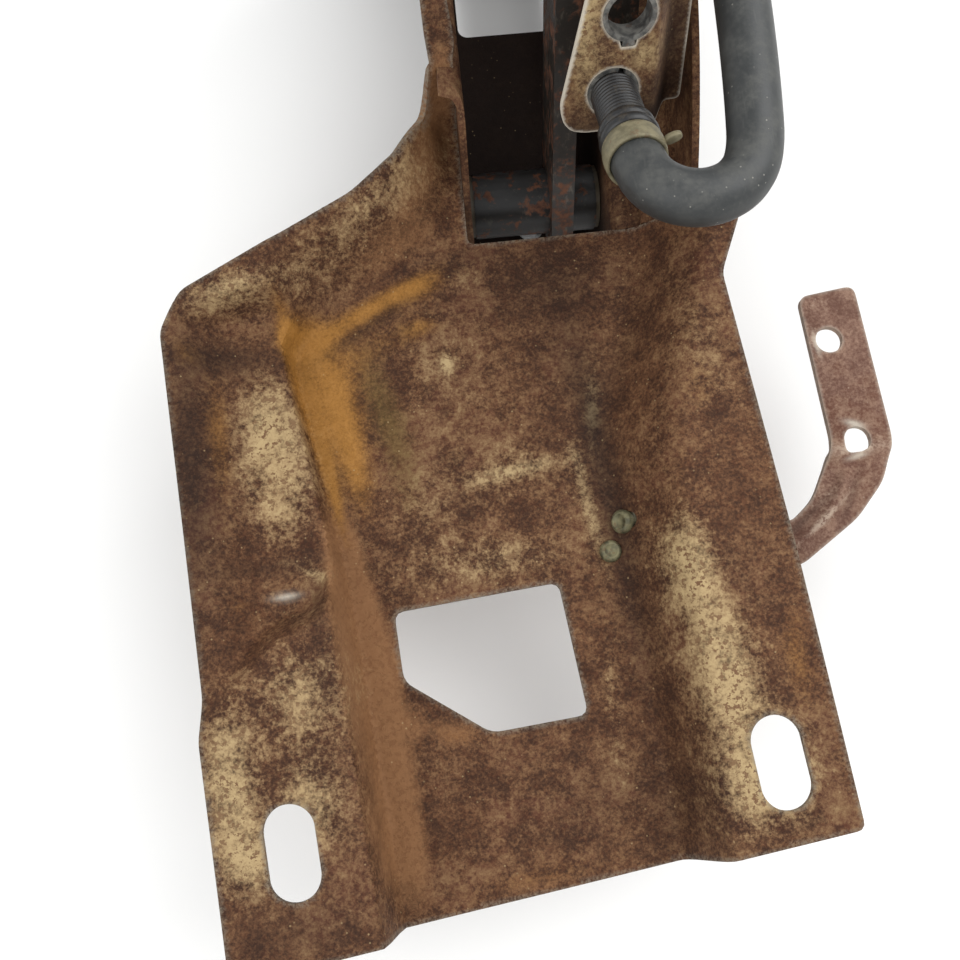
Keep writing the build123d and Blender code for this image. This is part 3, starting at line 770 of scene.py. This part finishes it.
PATCHES = patches({
    "pale": (
        (-56, -60, 17, 17, 0, 0.55), (-78, -84, 9, 22, 5, 0.75), (-55, -92, 11, 15, 0, 0.65),
        (-73, -106, 10, 10, 0, 0.5), (-61, 7, 13, 26, 0, 0.72), (-64, 24, 9, 12, 0, 0.4),
        (-32, 84, 26, 9, 35, 0.42), (-10, 106, 8, 20, -30, 0.42), (-60, 66, 20, 8, 10, 0.3),
        (70, 30, 9, 26, 4, 0.35), (61, -54, 10, 26, 4, 0.58), (66, -78, 12, 22, 4, 0.5),
        (57, -32, 8, 15, 0, 0.55), (66, -100, 13, 13, 0, 0.55), (80, -96, 8, 16, 0, 0.4),
        (8, 2, 26, 12, 8, 0.35), (-8, 36, 16, 18, 0, 0.3), (2, -26, 24, 8, 5, 0.5),
        (-18, -12, 14, 18, 0, 0.25), (38, 22, 3, 14, -8, 0.55), (33, -12, 3, 22, 8, 0.6),
        (33, -72, 4, 24, 0, 0.35), (-7, 39, 2.2, 3.2, 0, 0.7), (12, 2, 14, 2.2, 8, 0.45),
        (2, 68, 9, 5, 0, 0.3), (-84, 58, 8, 5, 0, 0.2), (-74, 62, 10, 5, 10, 0.5),
        (-52, -26, 6, 2, -30, 0.5),
    ),
    "ochre": (
        (-53.5, 36, 2.6, 26, 10, 0.85), (-46.5, 2, 2.4, 22, 9, 0.75), (-45, 30, 9, 22, 14, 0.62),
        (-39, 6, 5, 18, 10, 0.5), (-30, 60, 24, 4.2, 26, 0.8), (-12, 66, 10, 5, 20, 0.5),
        (-52, 50, 8, 8, 0, 0.5), (-14, 52, 7, 4, 25, 0.5), (-28, 48, 18, 8, 30, 0.35),
        (84, -64, 6, 18, 0, 0.45), (68, 19, 6, 12, 0, 0.35), (-86, 44, 5, 5, 0, 0.55),
        (-80, 22, 4, 16, 0, 0.28), (6, -119, 26, 4, 6, 0.35), (-74, -34, 5, 6, 0, 0.3),
        (-60, -74, 12, 26, 0, 0.16), (-16, -76, 11, 5, -20, 0.35), (-56, -98, 5, 10, 0, 0.3),
        (-40, 26, 13, 30, 14, 0.3), (-77, 12, 3.5, 26, 0, 0.42),
    ),
    "olive": (
        (-30, 30, 9, 22, 16, 0.7), (-16, 52, 14, 7, 24, 0.5), (-24, 4, 7, 22, 8, 0.5),
        (0, 71, 12, 4, 8, 0.4), (-76, -100, 10, 20, 0, 0.25), (-90, -30, 4, 16, 0, 0.4),
    ),
    "tan": (
        (-44, -24, 5, 22, 6, 0.9), (-39, -62, 7, 30, 6, 1.0), (-33, -106, 8, 20, 6, 1.0),
        (-16, -76, 11, 5, -20, 0.8), (-31, -62, 6, 34, 6, 0.5), (5, -121, 28, 5, 6, 0.5),
        (-24, 76, 24, 6, 28, 0.3), (-4, 118, 6, 26, -20, 0.8), (80, 60, 8, 10, 0, 0.35),
        (-40, -36, 5, 30, 6, 0.4), (-62, 6, 11, 26, 0, 0.6), (-16, 90, 26, 14, 35, 0.4),
        (66, 0, 14, 30, 0, 0.3),
    ),
    # Painted shade at the wall feet, along the pocket's side and step, and towards the neck.
    "painted_shade": (
        (31, 64, 24, 12, 5, 0.34), (39, -5, 5, 34, 5, 0.36), (-61, -124, 22, 9, 0, 0.25),
        (-86, 10, 6, 34, 2, 0.3), (50, -100, 8, 18, 0, 0.3), (26, -98, 18, 16, 0, 0.15),
        (-78, 44, 12, 5, 0, 0.3), (0, 74, 20, 4, 10, 0.2), (-31, 54, 20, 2.2, 30, 0.4),
        (-64, -23, 16, 2.5, 5, 0.35), (-88, -40, 3, 26, 5, 0.35), (30, 40, 12, 30, 0, 0.14),
        (46, 30, 5, 22, -28, 0.25), (-85, 8, 8, 42, 2, 0.36), (-72, 42, 12, 6, 0, 0.32),
        (38, 14, 6, 40, 8, 0.3), (43, -44, 5, 30, 5, 0.3), (-50, -44, 2.4, 20, 8, 0.3),
    ),
    # Painted highlight on the rounded step at the top edge of the left pad.
    "painted_highlight": (
        (-61, -32.0, 3.6, 1.0, 2, 0.6),
    ),
})


@dataclass
class Sheet:
    """Sheet-metal piece: a plan cut from loops and raised by a height formula.

    The first loop is the edge and the others are holes. The skin is the upper face; a modifier
    gives it the thickness below. Patches lie along the row frame's axes, from the wide channel's
    reference point; own_patches lie in the sheet's own axes.
    """

    name: str
    where: Place
    loops: list
    thickness: float = SHEET
    step: float = 1.5
    # Strength of steel along the cut edges (partly wear, partly a painted highlight) and of a
    # painted highlight at the edges.
    edge_wear_and_highlight: float = 0.0
    edge_painted_highlight: float = 0.0
    patches: tuple = ()
    own_patches: tuple = ()

    def height(self, plan: np.ndarray) -> np.ndarray:
        """Height above the place's plane: level unless a kind of sheet says otherwise.

        Args:
            plan: (n, 2) plan points.

        Returns:
            (n,) millimetres.
        """
        return np.zeros(len(plan))

    def sheet_points(self) -> tuple[np.ndarray, list]:
        """Plan points and the closed loops that the triangles have to follow.

        Returns:
            Points of every loop, then a hexagonal grid that keeps clear of the loops; and the
            list of loops as runs of point numbers.
        """
        edge = self.loops[0]
        low, high = edge.min(axis=0), edge.max(axis=0)
        rows = np.arange(low[1], high[1], self.step * HEX_ROW)
        columns = np.arange(low[0], high[0], self.step)
        grid = np.stack(np.meshgrid(columns, rows), axis=-1)
        grid[1::2, :, 0] += self.step / 2
        grid = grid.reshape(-1, 2)
        keep = inside(grid, edge) & (reach(grid, edge) > 0.6 * self.step)
        for loop in self.loops[1:]:
            keep &= ~inside(grid, loop) & (reach(grid, loop) > 0.5 * self.step)
        ends = np.cumsum([len(loop) for loop in self.loops])
        runs = [np.arange(end - len(loop), end) for end, loop in zip(ends, self.loops)]
        return np.vstack([*self.loops, grid[keep]]), runs

    def build(self) -> bpy.types.Object:
        """Triangulate the sheet, raise it, mark it and give it its thickness.

        Returns:
            The piece.
        """
        plan, runs = self.sheet_points()
        edges = [(int(a), int(b)) for run in runs for a, b in zip(run, np.roll(run, -1))]
        cut = delaunay_2d_cdt([Vector(point) for point in plan.tolist()], edges, [], 0, 1e-5)
        flat = np.array([tuple(point) for point in cut[0]])
        triangles = np.array([tuple(face) for face in cut[2] if len(face) == 3])
        a, b, c = (flat[triangles[:, k]] for k in range(3))
        wind = (b - a)[:, 0] * (c - a)[:, 1] - (b - a)[:, 1] * (c - a)[:, 0]
        triangles[wind < 0] = triangles[wind < 0][:, ::-1]
        middle = flat[triangles].mean(axis=1)
        keep = inside(middle, self.loops[0]) & (np.abs(wind) > SMALLEST_TRIANGLE)
        for loop in self.loops[1:]:
            keep &= ~inside(middle, loop)
        used, faces = np.unique(triangles[keep], return_inverse=True)
        flat = flat[used]
        faces = [tuple(face) for face in faces.reshape(-1, 3).tolist()]
        world = self.where.world(np.column_stack([flat, self.height(flat)]))
        piece = make_mesh(self.name, world, faces)
        self.mark(piece, flat, world[:, :2] - np.array(WIDE_ORIGIN[:2]))
        solid = piece.modifiers.new("sheet", "SOLIDIFY")
        solid.thickness, solid.offset = self.thickness * MM, -1
        soften(piece, EDGE_BEVEL, EDGE_ANGLE)
        return piece

    def mark(self, piece: bpy.types.Object, plan: np.ndarray, square: np.ndarray) -> None:
        """Store the finish's marks on the points.

        Args:
            piece: the sheet.
            plan: (n, 2) plan points in the sheet's own axes.
            square: (n, 2) the same points along the row frame's axes.
        """
        near = np.minimum.reduce([reach(plan, loop) for loop in self.loops[:4]])
        marks = {name: np.zeros(len(plan)) for name in MARKS}
        for patch in self.patches:
            marks[patch.mark] += patch.at(square)
        for patch in self.own_patches:
            marks[patch.mark] += patch.at(plan)
        # Steel along the cut edges, partly wear and partly a painted highlight, then a painted
        # highlight right at the edge.
        marks["worn_and_highlight"] += self.edge_wear_and_highlight * np.exp(-((near / WEAR_AND_HIGHLIGHT_WIDTH) ** 2))
        marks["painted_highlight"] += self.edge_painted_highlight * np.exp(-((near / PAINTED_HIGHLIGHT_WIDTH) ** 2))
        for name, values in marks.items():
            stored = piece.data.attributes.new(name, "FLOAT", "POINT")
            stored.data.foreach_set("value", np.clip(values, 0, 1).astype(np.float32))


def ring_loop(at: tuple, radius: float, count: int = 40, stretch: float = 0) -> np.ndarray:
    """Circle, or a stadium where it is pulled apart along its second axis.

    Args:
        at: plan point of its centre.
        radius: millimetres.
        count: points.
        stretch: half the length of the straight sides.

    Returns:
        (count, 2) points.
    """
    angle = np.linspace(0, 2 * math.pi, count, endpoint=False)
    pull = np.where(np.sin(angle) > 0, stretch, -stretch)
    return np.stack([radius * np.cos(angle), radius * np.sin(angle) + pull], axis=1) + at


@dataclass
class MainPressing(Sheet):
    """Wide channel: floor, two walls, two dash flanges, the pocket, the window and the holes.

    Plan points are in the wide channel's own axes; heights are above its floor.
    """

    name: str = "pressing_sheet"
    where: Place = WIDE
    loops: list = field(default_factory=list)
    # Steel along the cut edges, partly wear and partly a painted highlight.
    edge_wear_and_highlight: float = 0.7
    patches: tuple = PATCHES

    outline: tuple = (
        (-91.5, -128), (85.2, -120), (85.5, -38), (84, 46), (94, 64.5), (92, 69), (66, 74),
        (58.5, 75.2), (10.5, 78.7), (15.0, 128.6), (16.6, 134), (17.0, 171), (8.0, 172),
        (8.5, 152), (7.7, 140), (7.5, 127), (3.6, 118), (-7.8, 104.4), (-23.8, 93.4),
        (-43.8, 85.2), (-79.9, 70.2), (-88.3, 58.7), (-89.5, -52), (-91.5, -64),
    )
    foot: tuple = (
        (-44.5, -145), (-45.5, -20), (-52.6, 52.8), (-3, 74), (8.6, 84), (13.8, 145),
        (60, 145), (60, 66), (36, 4), (36.4, -145),
    )
    crest: tuple = (
        (-49.5, -145), (-50.5, -20), (-58, 84), (-16, 100), (3.5, 127), (9.5, 145),
        (75, 145), (90, 72), (62, 0), (47, -145),
    )
    pocket: tuple = ((-100, -66), (-70, -35), (-54, -31), (-40, 0), (-46, 66), (-100, 57))
    window: tuple = ((-33.5, -36), (18, -36), (19, -76.7), (-10.5, -76.7), (-34, -57))
    slots: tuple = ((-70.2, -97.5), (66.8, -98.5))
    rivets: tuple = ((41.7, -21.5), (35.9, -29.1))
    rise: float = 22.0
    pocket_rise: float = 10.0
    pocket_outer: float = 19.5
    strip_rise: float = 29.4
    foot_radius: float = 9
    crest_radius: float = 16
    pocket_radius: float = 16
    slot_radius: float = 7.25
    slot_half: float = 5.75
    rivet_hole: float = 3.0

    def __post_init__(self) -> None:
        """Round the outline and the window, and make the holes' loops."""
        self.loops = [rounded(self.outline, 2.4, self.step), rounded(self.window, 3.0, self.step)]
        self.loops += [ring_loop(at, self.slot_radius, 48, self.slot_half) for at in self.slots]
        self.loops += [ring_loop(at, self.rivet_hole, 20) for at in self.rivets]

    def height(self, plan: np.ndarray) -> np.ndarray:
        """Height of the upper surface above the floor.

        The share of the way from the foot line to the crest line, smoothed, times the rise. The
        pocket then pulls the left flange down to a floor that climbs towards the outer edge, the
        strip over the left cheek is levelled, and slow waves of a third of a millimetre finish it.

        Args:
            plan: (n, 2) plan points.

        Returns:
            (n,) millimetres.
        """
        foot = rounded(self.foot, self.foot_radius)
        crest = rounded(self.crest, self.crest_radius)
        from_foot, to_crest = reach(plan, foot), reach(plan, crest)
        share = from_foot / np.maximum(from_foot + to_crest, 1e-6)
        share = np.where(inside(plan, foot), 0, np.where(inside(plan, crest), share, 1))
        level = self.rise * smooth(share * 1.04 - 0.02)
        pocket = rounded(self.pocket, self.pocket_radius)
        depth = np.where(inside(plan, pocket), 1, -1) * reach(plan, pocket)
        sunk = smooth((depth + 6.5) / 9.0)
        u, v = plan[:, 0], plan[:, 1]
        floor = self.pocket_rise + (self.pocket_outer - self.pocket_rise) * smooth((-66 - u) / 20)
        target = np.minimum(level, floor)
        level = level + (target - level) * sunk
        strip = smooth((v - 117) / 11) * (u < 24)
        level = level + (self.strip_rise - level) * strip
        wave = np.sin(u / 23 + 1.0) * np.sin(v / 31 + 0.4) + 0.6 * np.sin(u / 11 - v / 17)
        return level + 0.22 * wave * (1 - strip)


@dataclass
class SwitchPlate(Sheet):
    """Plate that holds the two push-in switches, folded back into a valley beside the cheek.

    Its height falls smoothly into the valley past the fold.
    """

    name: str = "switch_sheet"
    where: Place = SWITCH
    loops: list = field(default_factory=list)
    step: float = 0.8
    # Painted highlight along the cut edges and the bores.
    edge_painted_highlight: float = 0.8
    outline: tuple = (
        (-6.5, 36), (-15.2, -3.5), (-14.6, -8.2), (-12.2, -11.4), (-8.0, -12.5), (12, -12.5),
        (23.4, -12.5), (24.6, 36),
    )
    bores: tuple = ((0, 0), (3.7, 22.7))
    bore_radius: float = 7.5
    notch_half: float = 2.0
    notch_reach: float = 9.2
    valley: float = 12.0
    own_patches: tuple = patches({
        "pale": (
            (-9, 12, 7, 22, 12, 0.6), (9, 11, 7, 8, 0, 0.75), (4, 34, 12, 8, 0, 0.6),
            (-10, 30, 6, 12, 12, 0.4),
        ),
        # Painted shade down into the valley past the fold and along the lower edge.
        "painted_shade": (
            (17, 2, 4, 14, -6, 0.6), (12, -9, 10, 6, 0, 0.7), (-6, -12, 12, 4, 0, 0.5),
            (16, 26, 3, 10, 6, 0.45),
        ),
        "ochre": (
            (-12, 4, 3, 10, 12, 0.25), (6, 14, 8, 3, 0, 0.3),
        ),
    })

    def __post_init__(self) -> None:
        """Round the outline and cut the two keyed holes: circles with a notch at the bottom."""
        self.loops = [rounded(self.outline, 2.0, self.step)]
        for at in self.bores:
            hole = ring_loop((0, 0), self.bore_radius, 72)
            notch = (np.abs(hole[:, 0]) < self.notch_half) & (hole[:, 1] < 0)
            hole[notch, 1] = -self.notch_reach
            self.loops.append(hole + at)

    def height(self, plan: np.ndarray) -> np.ndarray:
        """Level face, then 12 mm down into the valley by a smooth step."""
        return -self.valley * smooth((plan[:, 0] - 11.5) / 8.0)


@dataclass
class SideStrap(Sheet):
    """Flat strap with two holes, a slight bend at the second and a pressed bead below it."""

    name: str = "strap_sheet"
    where: Place = field(default_factory=lambda: place((-28, -250, -37.2), (1, 0, 0), (0, 0, 1)))
    loops: list = field(default_factory=list)
    thickness: float = 2.5
    step: float = 0.9
    # Painted highlight along the cut edges.
    edge_painted_highlight: float = 0.25
    outline: tuple = (
        (31, -19.0), (44, -10.0), (62, -14.0), (96, -22.4), (104, -15.7), (113, 1.4),
        (110, 51.5), (128.7, 53.9), (132.4, 1.1), (127, -12), (117, -23), (97, -36.2),
        (60, -37.5), (36, -34),
    )
    bead: tuple = ((84, -27.5), (97, -29.5), (106, -23), (112, -15.5), (115, -9.5))
    patches: tuple = patches({
        # Pale: the thin lines across the bend, along the bead and at the round hole's left edge are
        # painted highlights.
        "pale": (
            (121.5, -0.5, 12, 2.6, 3, 0.8), (113, 37, 1.6, 6, 0, 0.9), (120, 48, 10, 5, 0, 0.3),
            (108, -16, 5, 8, -35, 0.45), (103, -25, 13, 1.1, 38, 0.8),
        ),
        # Painted highlights on the rims of the two holes.
        "painted_highlight": (
            (121, 7.4, 3, 1, -20, 0.7), (120, -3.4, 3.2, 0.7, 10, 0.6),
            (113.4, 34, 0.7, 3, 10, 0.5),
        ),
        # Painted shade: one stripe near the teardrop hole and two along the bead.
        "painted_shade": (
            (111, 4, 2.2, 8, 0, 0.3), (100, -22, 12, 1.3, 38, 0.45), (116, -16, 10, 1.6, 62, 0.3),
        ),
    })

    def __post_init__(self) -> None:
        """Round the outline, the round hole and the teardrop hole at the bend."""
        tear = ring_loop((0, 0), 4.2, 40)
        point = np.exp(-(((np.arctan2(tear[:, 1], tear[:, 0]) + 2.36) / 0.42) ** 2))
        tear = tear * (1 + 0.28 * point[:, None])
        self.loops = [rounded(self.outline, 3.4, self.step), ring_loop((117.7, 36.1), 4.35),
                      tear + (121.2, 2.2)]
        self.loops += [ring_loop(at, 2.9, 20) for at in ((43.4, -17.8), (38.3, -25.9))]

    def height(self, plan: np.ndarray) -> np.ndarray:
        """A low ridge along the bend, and the bead: one bell across each line.

        Args:
            plan: (n, 2) plan points.

        Returns:
            (n,) millimetres.
        """
        line = np.array(self.bead, float)
        there_and_back = np.vstack([line, line[-2:0:-1]])
        across = reach(plan, there_and_back)
        ridge = 0.7 * np.exp(-(((plan[:, 1] + 1.5) / 2.6) ** 2)) * (plan[:, 0] > 100)
        return 1.8 * np.exp(-((across / 1.9) ** 2)) + ridge


@dataclass
class Rivets:
    """Two short bolt ends that stand square to the rising wall."""

    heads: tuple = ((41.2, -21.5, 3.7, 2.4), (35.6, -29.6, 3.4, 2.2))

    def build(self) -> bpy.types.Object:
        """Turned heads, each on the wall's own normal, found from the wall's slope.

        Returns:
            The piece.
        """
        wall = MainPressing()
        made = None
        for u, v, radius, tall in self.heads:
            around = np.array([(u, v), (u + 0.5, v), (u, v + 0.5)])
            level = wall.height(around)
            slope = np.array([level[1] - level[0], level[2] - level[0]]) / 0.5
            normal = WIDE.world((-slope[0], -slope[1], 1)) - WIDE.origin
            spot = tuple(WIDE.world((u, v, level[0])))
            where = place(spot, tuple(np.cross((0, 1, 0), normal)), tuple(normal))
            profile = ((0.01, -2), (radius, -2), (radius, tall * 0.55), (radius - 0.3, tall * 0.8),
                       (radius - 0.9, tall), (radius - 1.5, tall), (radius - 1.7, tall - 0.3),
                       (0.01, tall - 0.2))
            head = turned(where, profile, facets=24)
            made = head if made is None else made + head
        return skin_object("bolt_ends", made)


# ------------------------------------------------------------------ valve
@dataclass
class Valve:
    """Ribbed barrel, two-lipped collar and the spring clamp round the hose.

    The barrel is closed at its ends: the bore that the plunger slides in is left out.
    """

    rib_pitch: float = 1.45
    rib_radius: float = 6.75
    collar: tuple = (
        (6.2, 18.4), (7.5, 18.7), (8.1, 19.4), (8.2, 20.8), (7.8, 21.6), (7.3, 21.9),
        (7.3, 22.2), (8.2, 22.6), (8.55, 23.4), (8.5, 24.8), (8.0, 25.5), (7.4, 25.8),
        (3.95, 25.8), (3.95, 32), (3.2, 34), (0.01, 34),
    )

    def barrel(self) -> Skin:
        """Plain end inside the clip, then ribs: a raised cosine of the pitch."""
        along = np.arange(1.2, 18.6, 0.09)
        wave = 0.5 + 0.5 * np.cos(2 * math.pi * along / self.rib_pitch)
        radius = self.rib_radius - 0.5 * (1 - wave) ** 2
        ribs = np.column_stack([radius, along])
        plain = [(0.01, -10), (5.0, -10), (5.5, -9.4), (6.25, -9), (6.25, 0.8)]
        return turned(SWITCH, np.vstack([plain, ribs, [(6.2, 18.8), (0.01, 18.8)]]))

    def clamp(self) -> Skin:
        """Band with a slightly bulged outside, and one rounded finger tab."""
        height = np.linspace(26.9, 33.9, 9)
        bulge = 8.45 + 0.35 * np.sin(np.pi * (height - 26.9) / 7.0)
        outer = np.column_stack([bulge, height])
        inner = [(7.5, 33.9), (7.5, 26.9)]
        band = turned(SWITCH, np.vstack([outer, inner]), ring=True)
        angle = np.linspace(0, 2 * math.pi, 32, endpoint=False)
        long, wide = 2.6 * np.cos(angle), 1.3 * np.sin(angle)
        long = np.sign(long) * np.abs(long) ** 0.7 * 2.6**0.3
        tilt = math.radians(22)
        x = 10.0 + long * math.cos(tilt) - wide * math.sin(tilt)
        y = 3.9 + long * math.sin(tilt) + wide * math.cos(tilt)
        rings = [np.column_stack([x, y, np.full(32, level)]) for level in (29.4, 29.7, 31.1, 31.4)]
        shrink = (0.86, 1.0, 1.0, 0.86)
        middle = np.array([10.0, 3.9, 0])
        rings = [(ring - middle) * (k, k, 1) + middle for ring, k in zip(rings, shrink)]
        return band + skin(SWITCH.world(np.array(rings)))


# ------------------------------------------------------------------ hose
@dataclass
class Hose:
    """Moulded vacuum hose: a smooth curve controlled by the points of the CAD's route."""

    points: tuple = (
        (20.90, -173.34, 26.10), (21.2, -185.4, 31.9), (26.9, -193.3, 34.5),
        (36.2, -196.3, 35.5), (45.5, -193.3, 35.5), (51.2, -185.4, 35.5), (52.8, -170.0, 35.5),
        (54.2, -146.0, 35.5), (55.4, -114.0, 34.0), (56.4, -80.0, 32.0),
    )
    across: float = 15.0

    def build(self) -> bpy.types.Object:
        """Round curve through the points.

        Returns:
            The curve.
        """
        curve = bpy.data.curves.new("hose_line", "CURVE")
        curve.dimensions = "3D"
        curve.bevel_depth, curve.bevel_resolution = self.across / 2 * MM, 10
        curve.use_fill_caps = True
        curve.resolution_u = 24
        line = curve.splines.new("NURBS")
        line.points.add(len(self.points) - 1)
        for point, at in zip(line.points, self.points):
            point.co = (*(np.array(at) * MM), 1)
        line.order_u = 3
        line.use_endpoint_u = True
        made = bpy.data.objects.new("hose_line", curve)
        bpy.context.collection.objects.link(made)
        return made


# ------------------------------------------------------------------ camera, light and floor
@dataclass(frozen=True)
class Studio:
    """Pale floor, soft light all round, a key light from the upper right and a weaker fill."""

    azimuth: float = -5.5
    elevation: float = 78.0
    distance: float = 330.0
    lens: float = 39.375
    floor_z: float = -97.0

    def camera(self) -> None:
        """Camera that looks down into the channel."""
        turn, tilt = math.radians(self.azimuth), math.radians(self.elevation)
        back = Vector((math.sin(turn) * math.cos(tilt), -math.cos(turn) * math.cos(tilt),
                       math.sin(tilt)))
        right = Vector((math.cos(turn), math.sin(turn), 0))
        up = back.cross(right)
        eye = (Vector(WIDE_ORIGIN) + back * self.distance) * MM
        data = bpy.data.cameras.new("camera")
        data.lens, data.sensor_width, data.clip_start = self.lens, 36, 0.01
        made = bpy.data.objects.new("camera", data)
        axes = Matrix((right, up, back)).transposed()
        made.matrix_world = Matrix.Translation(eye) @ axes.to_4x4()
        bpy.context.collection.objects.link(made)
        bpy.context.scene.camera = made

    def lamp(self, name: str, at: tuple, size: float, power: float) -> None:
        """Square soft light that faces the channel.

        Args:
            name: object name.
            at: millimetres in the row frame.
            size: side in millimetres.
            power: watts.
        """
        data = bpy.data.lights.new(name, "AREA")
        data.size, data.energy = size * MM, power
        made = bpy.data.objects.new(name, data)
        made.location = Vector(at) * MM
        aim = Vector(WIDE_ORIGIN) - Vector(at)
        made.rotation_mode = "QUATERNION"
        made.rotation_quaternion = aim.to_track_quat("-Z", "Y")
        bpy.context.collection.objects.link(made)

    def floor(self) -> None:
        """Pale matt floor just under the object."""
        half = 3000
        corners = np.array([(-half, -half), (half, -half), (half, half), (-half, half)])
        made = make_mesh("floor", np.column_stack([corners, [self.floor_z] * 4]), [(0, 1, 2, 3)])
        tree = Tree("pale_floor")
        made.data.materials.append(tree.finish((0.93, 0.925, 0.91, 1), 0.7))

    def build(self) -> None:
        """Everything around the object."""
        self.camera()
        self.floor()
        world = bpy.data.worlds.new("sky")
        world.use_nodes = True
        sky = world.node_tree.nodes["Background"].inputs
        sky["Color"].default_value = (0.97, 0.985, 1, 1)
        sky["Strength"].default_value = 0.8
        bpy.context.scene.world = world
        bpy.context.scene.view_settings.view_transform = "Standard"
        self.lamp("key", (420, -40, 620), 760, 5)
        self.lamp("fill", (-520, -480, 560), 700, 2.5)


# ------------------------------------------------------------------ finishes of the CAD pieces
CAD_FINISHES = {
    Finish.DARK_SHEET: ("neck_channel", "firewall_flange", "outer_cheek"),
    Finish.SPRING_STEEL: ("valve_retainer", "spare_switch_retainer", "pin_clip"),
    Finish.ZINC: ("pivot_bolt", "pivot_nut", "pivot_washers", "pushrod_pin", "pivot_sleeve"),
    Finish.ARM: ("pedal_arm", "striker_plate", "pad_plate"),
    Finish.HUB: ("pedal_hub",),
    Finish.BLACK: ("valve_plunger", "hose_connector"),
    Finish.NYLON: ("hub_bushing_left", "hub_bushing_right"),
    Finish.PAD: ("pad_rubber",),
}


def main() -> None:
    """Build every piece and give it its finish."""
    logging.basicConfig(level=logging.INFO, format="%(name)s: %(message)s")
    Studio().build()
    hose = Finish.RUBBER.on(Hose().build())
    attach(hose, "bracket")
    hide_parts("vacuum_hose")
    valve = Valve()
    barrel = skin_object("ribbed_barrel", valve.barrel())
    collar = skin_object("lipped_collar", turned(SWITCH, valve.collar))
    clamp = skin_object("spring_clamp", valve.clamp())
    made = (
        (Finish.SHEET, MainPressing().build(), "main_pressing", "rusted_steel"),
        (Finish.PLATE, SwitchPlate().build(), "switch_plate", "rusted_steel"),
        (Finish.STRAP, SideStrap().build(), "side_strap", "strap_steel"),
        (Finish.ZINC, Rivets().build(), "strap_rivets", "fastener_zinc"),
        (Finish.BLACK, barrel, "valve_barrel", "valve_plastic"),
        (Finish.BLACK, collar, "valve_collar", "valve_plastic"),
        (Finish.BAND, clamp, "hose_clamp", "fastener_zinc"),
    )
    for finish, piece, node, slot in made:
        finish.on(piece)
        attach(piece, "bracket")
        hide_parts(node)
    for finish, names in CAD_FINISHES.items():
        for name in names:
            finish.on(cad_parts[name])


if __name__ == "__main__":
    main()
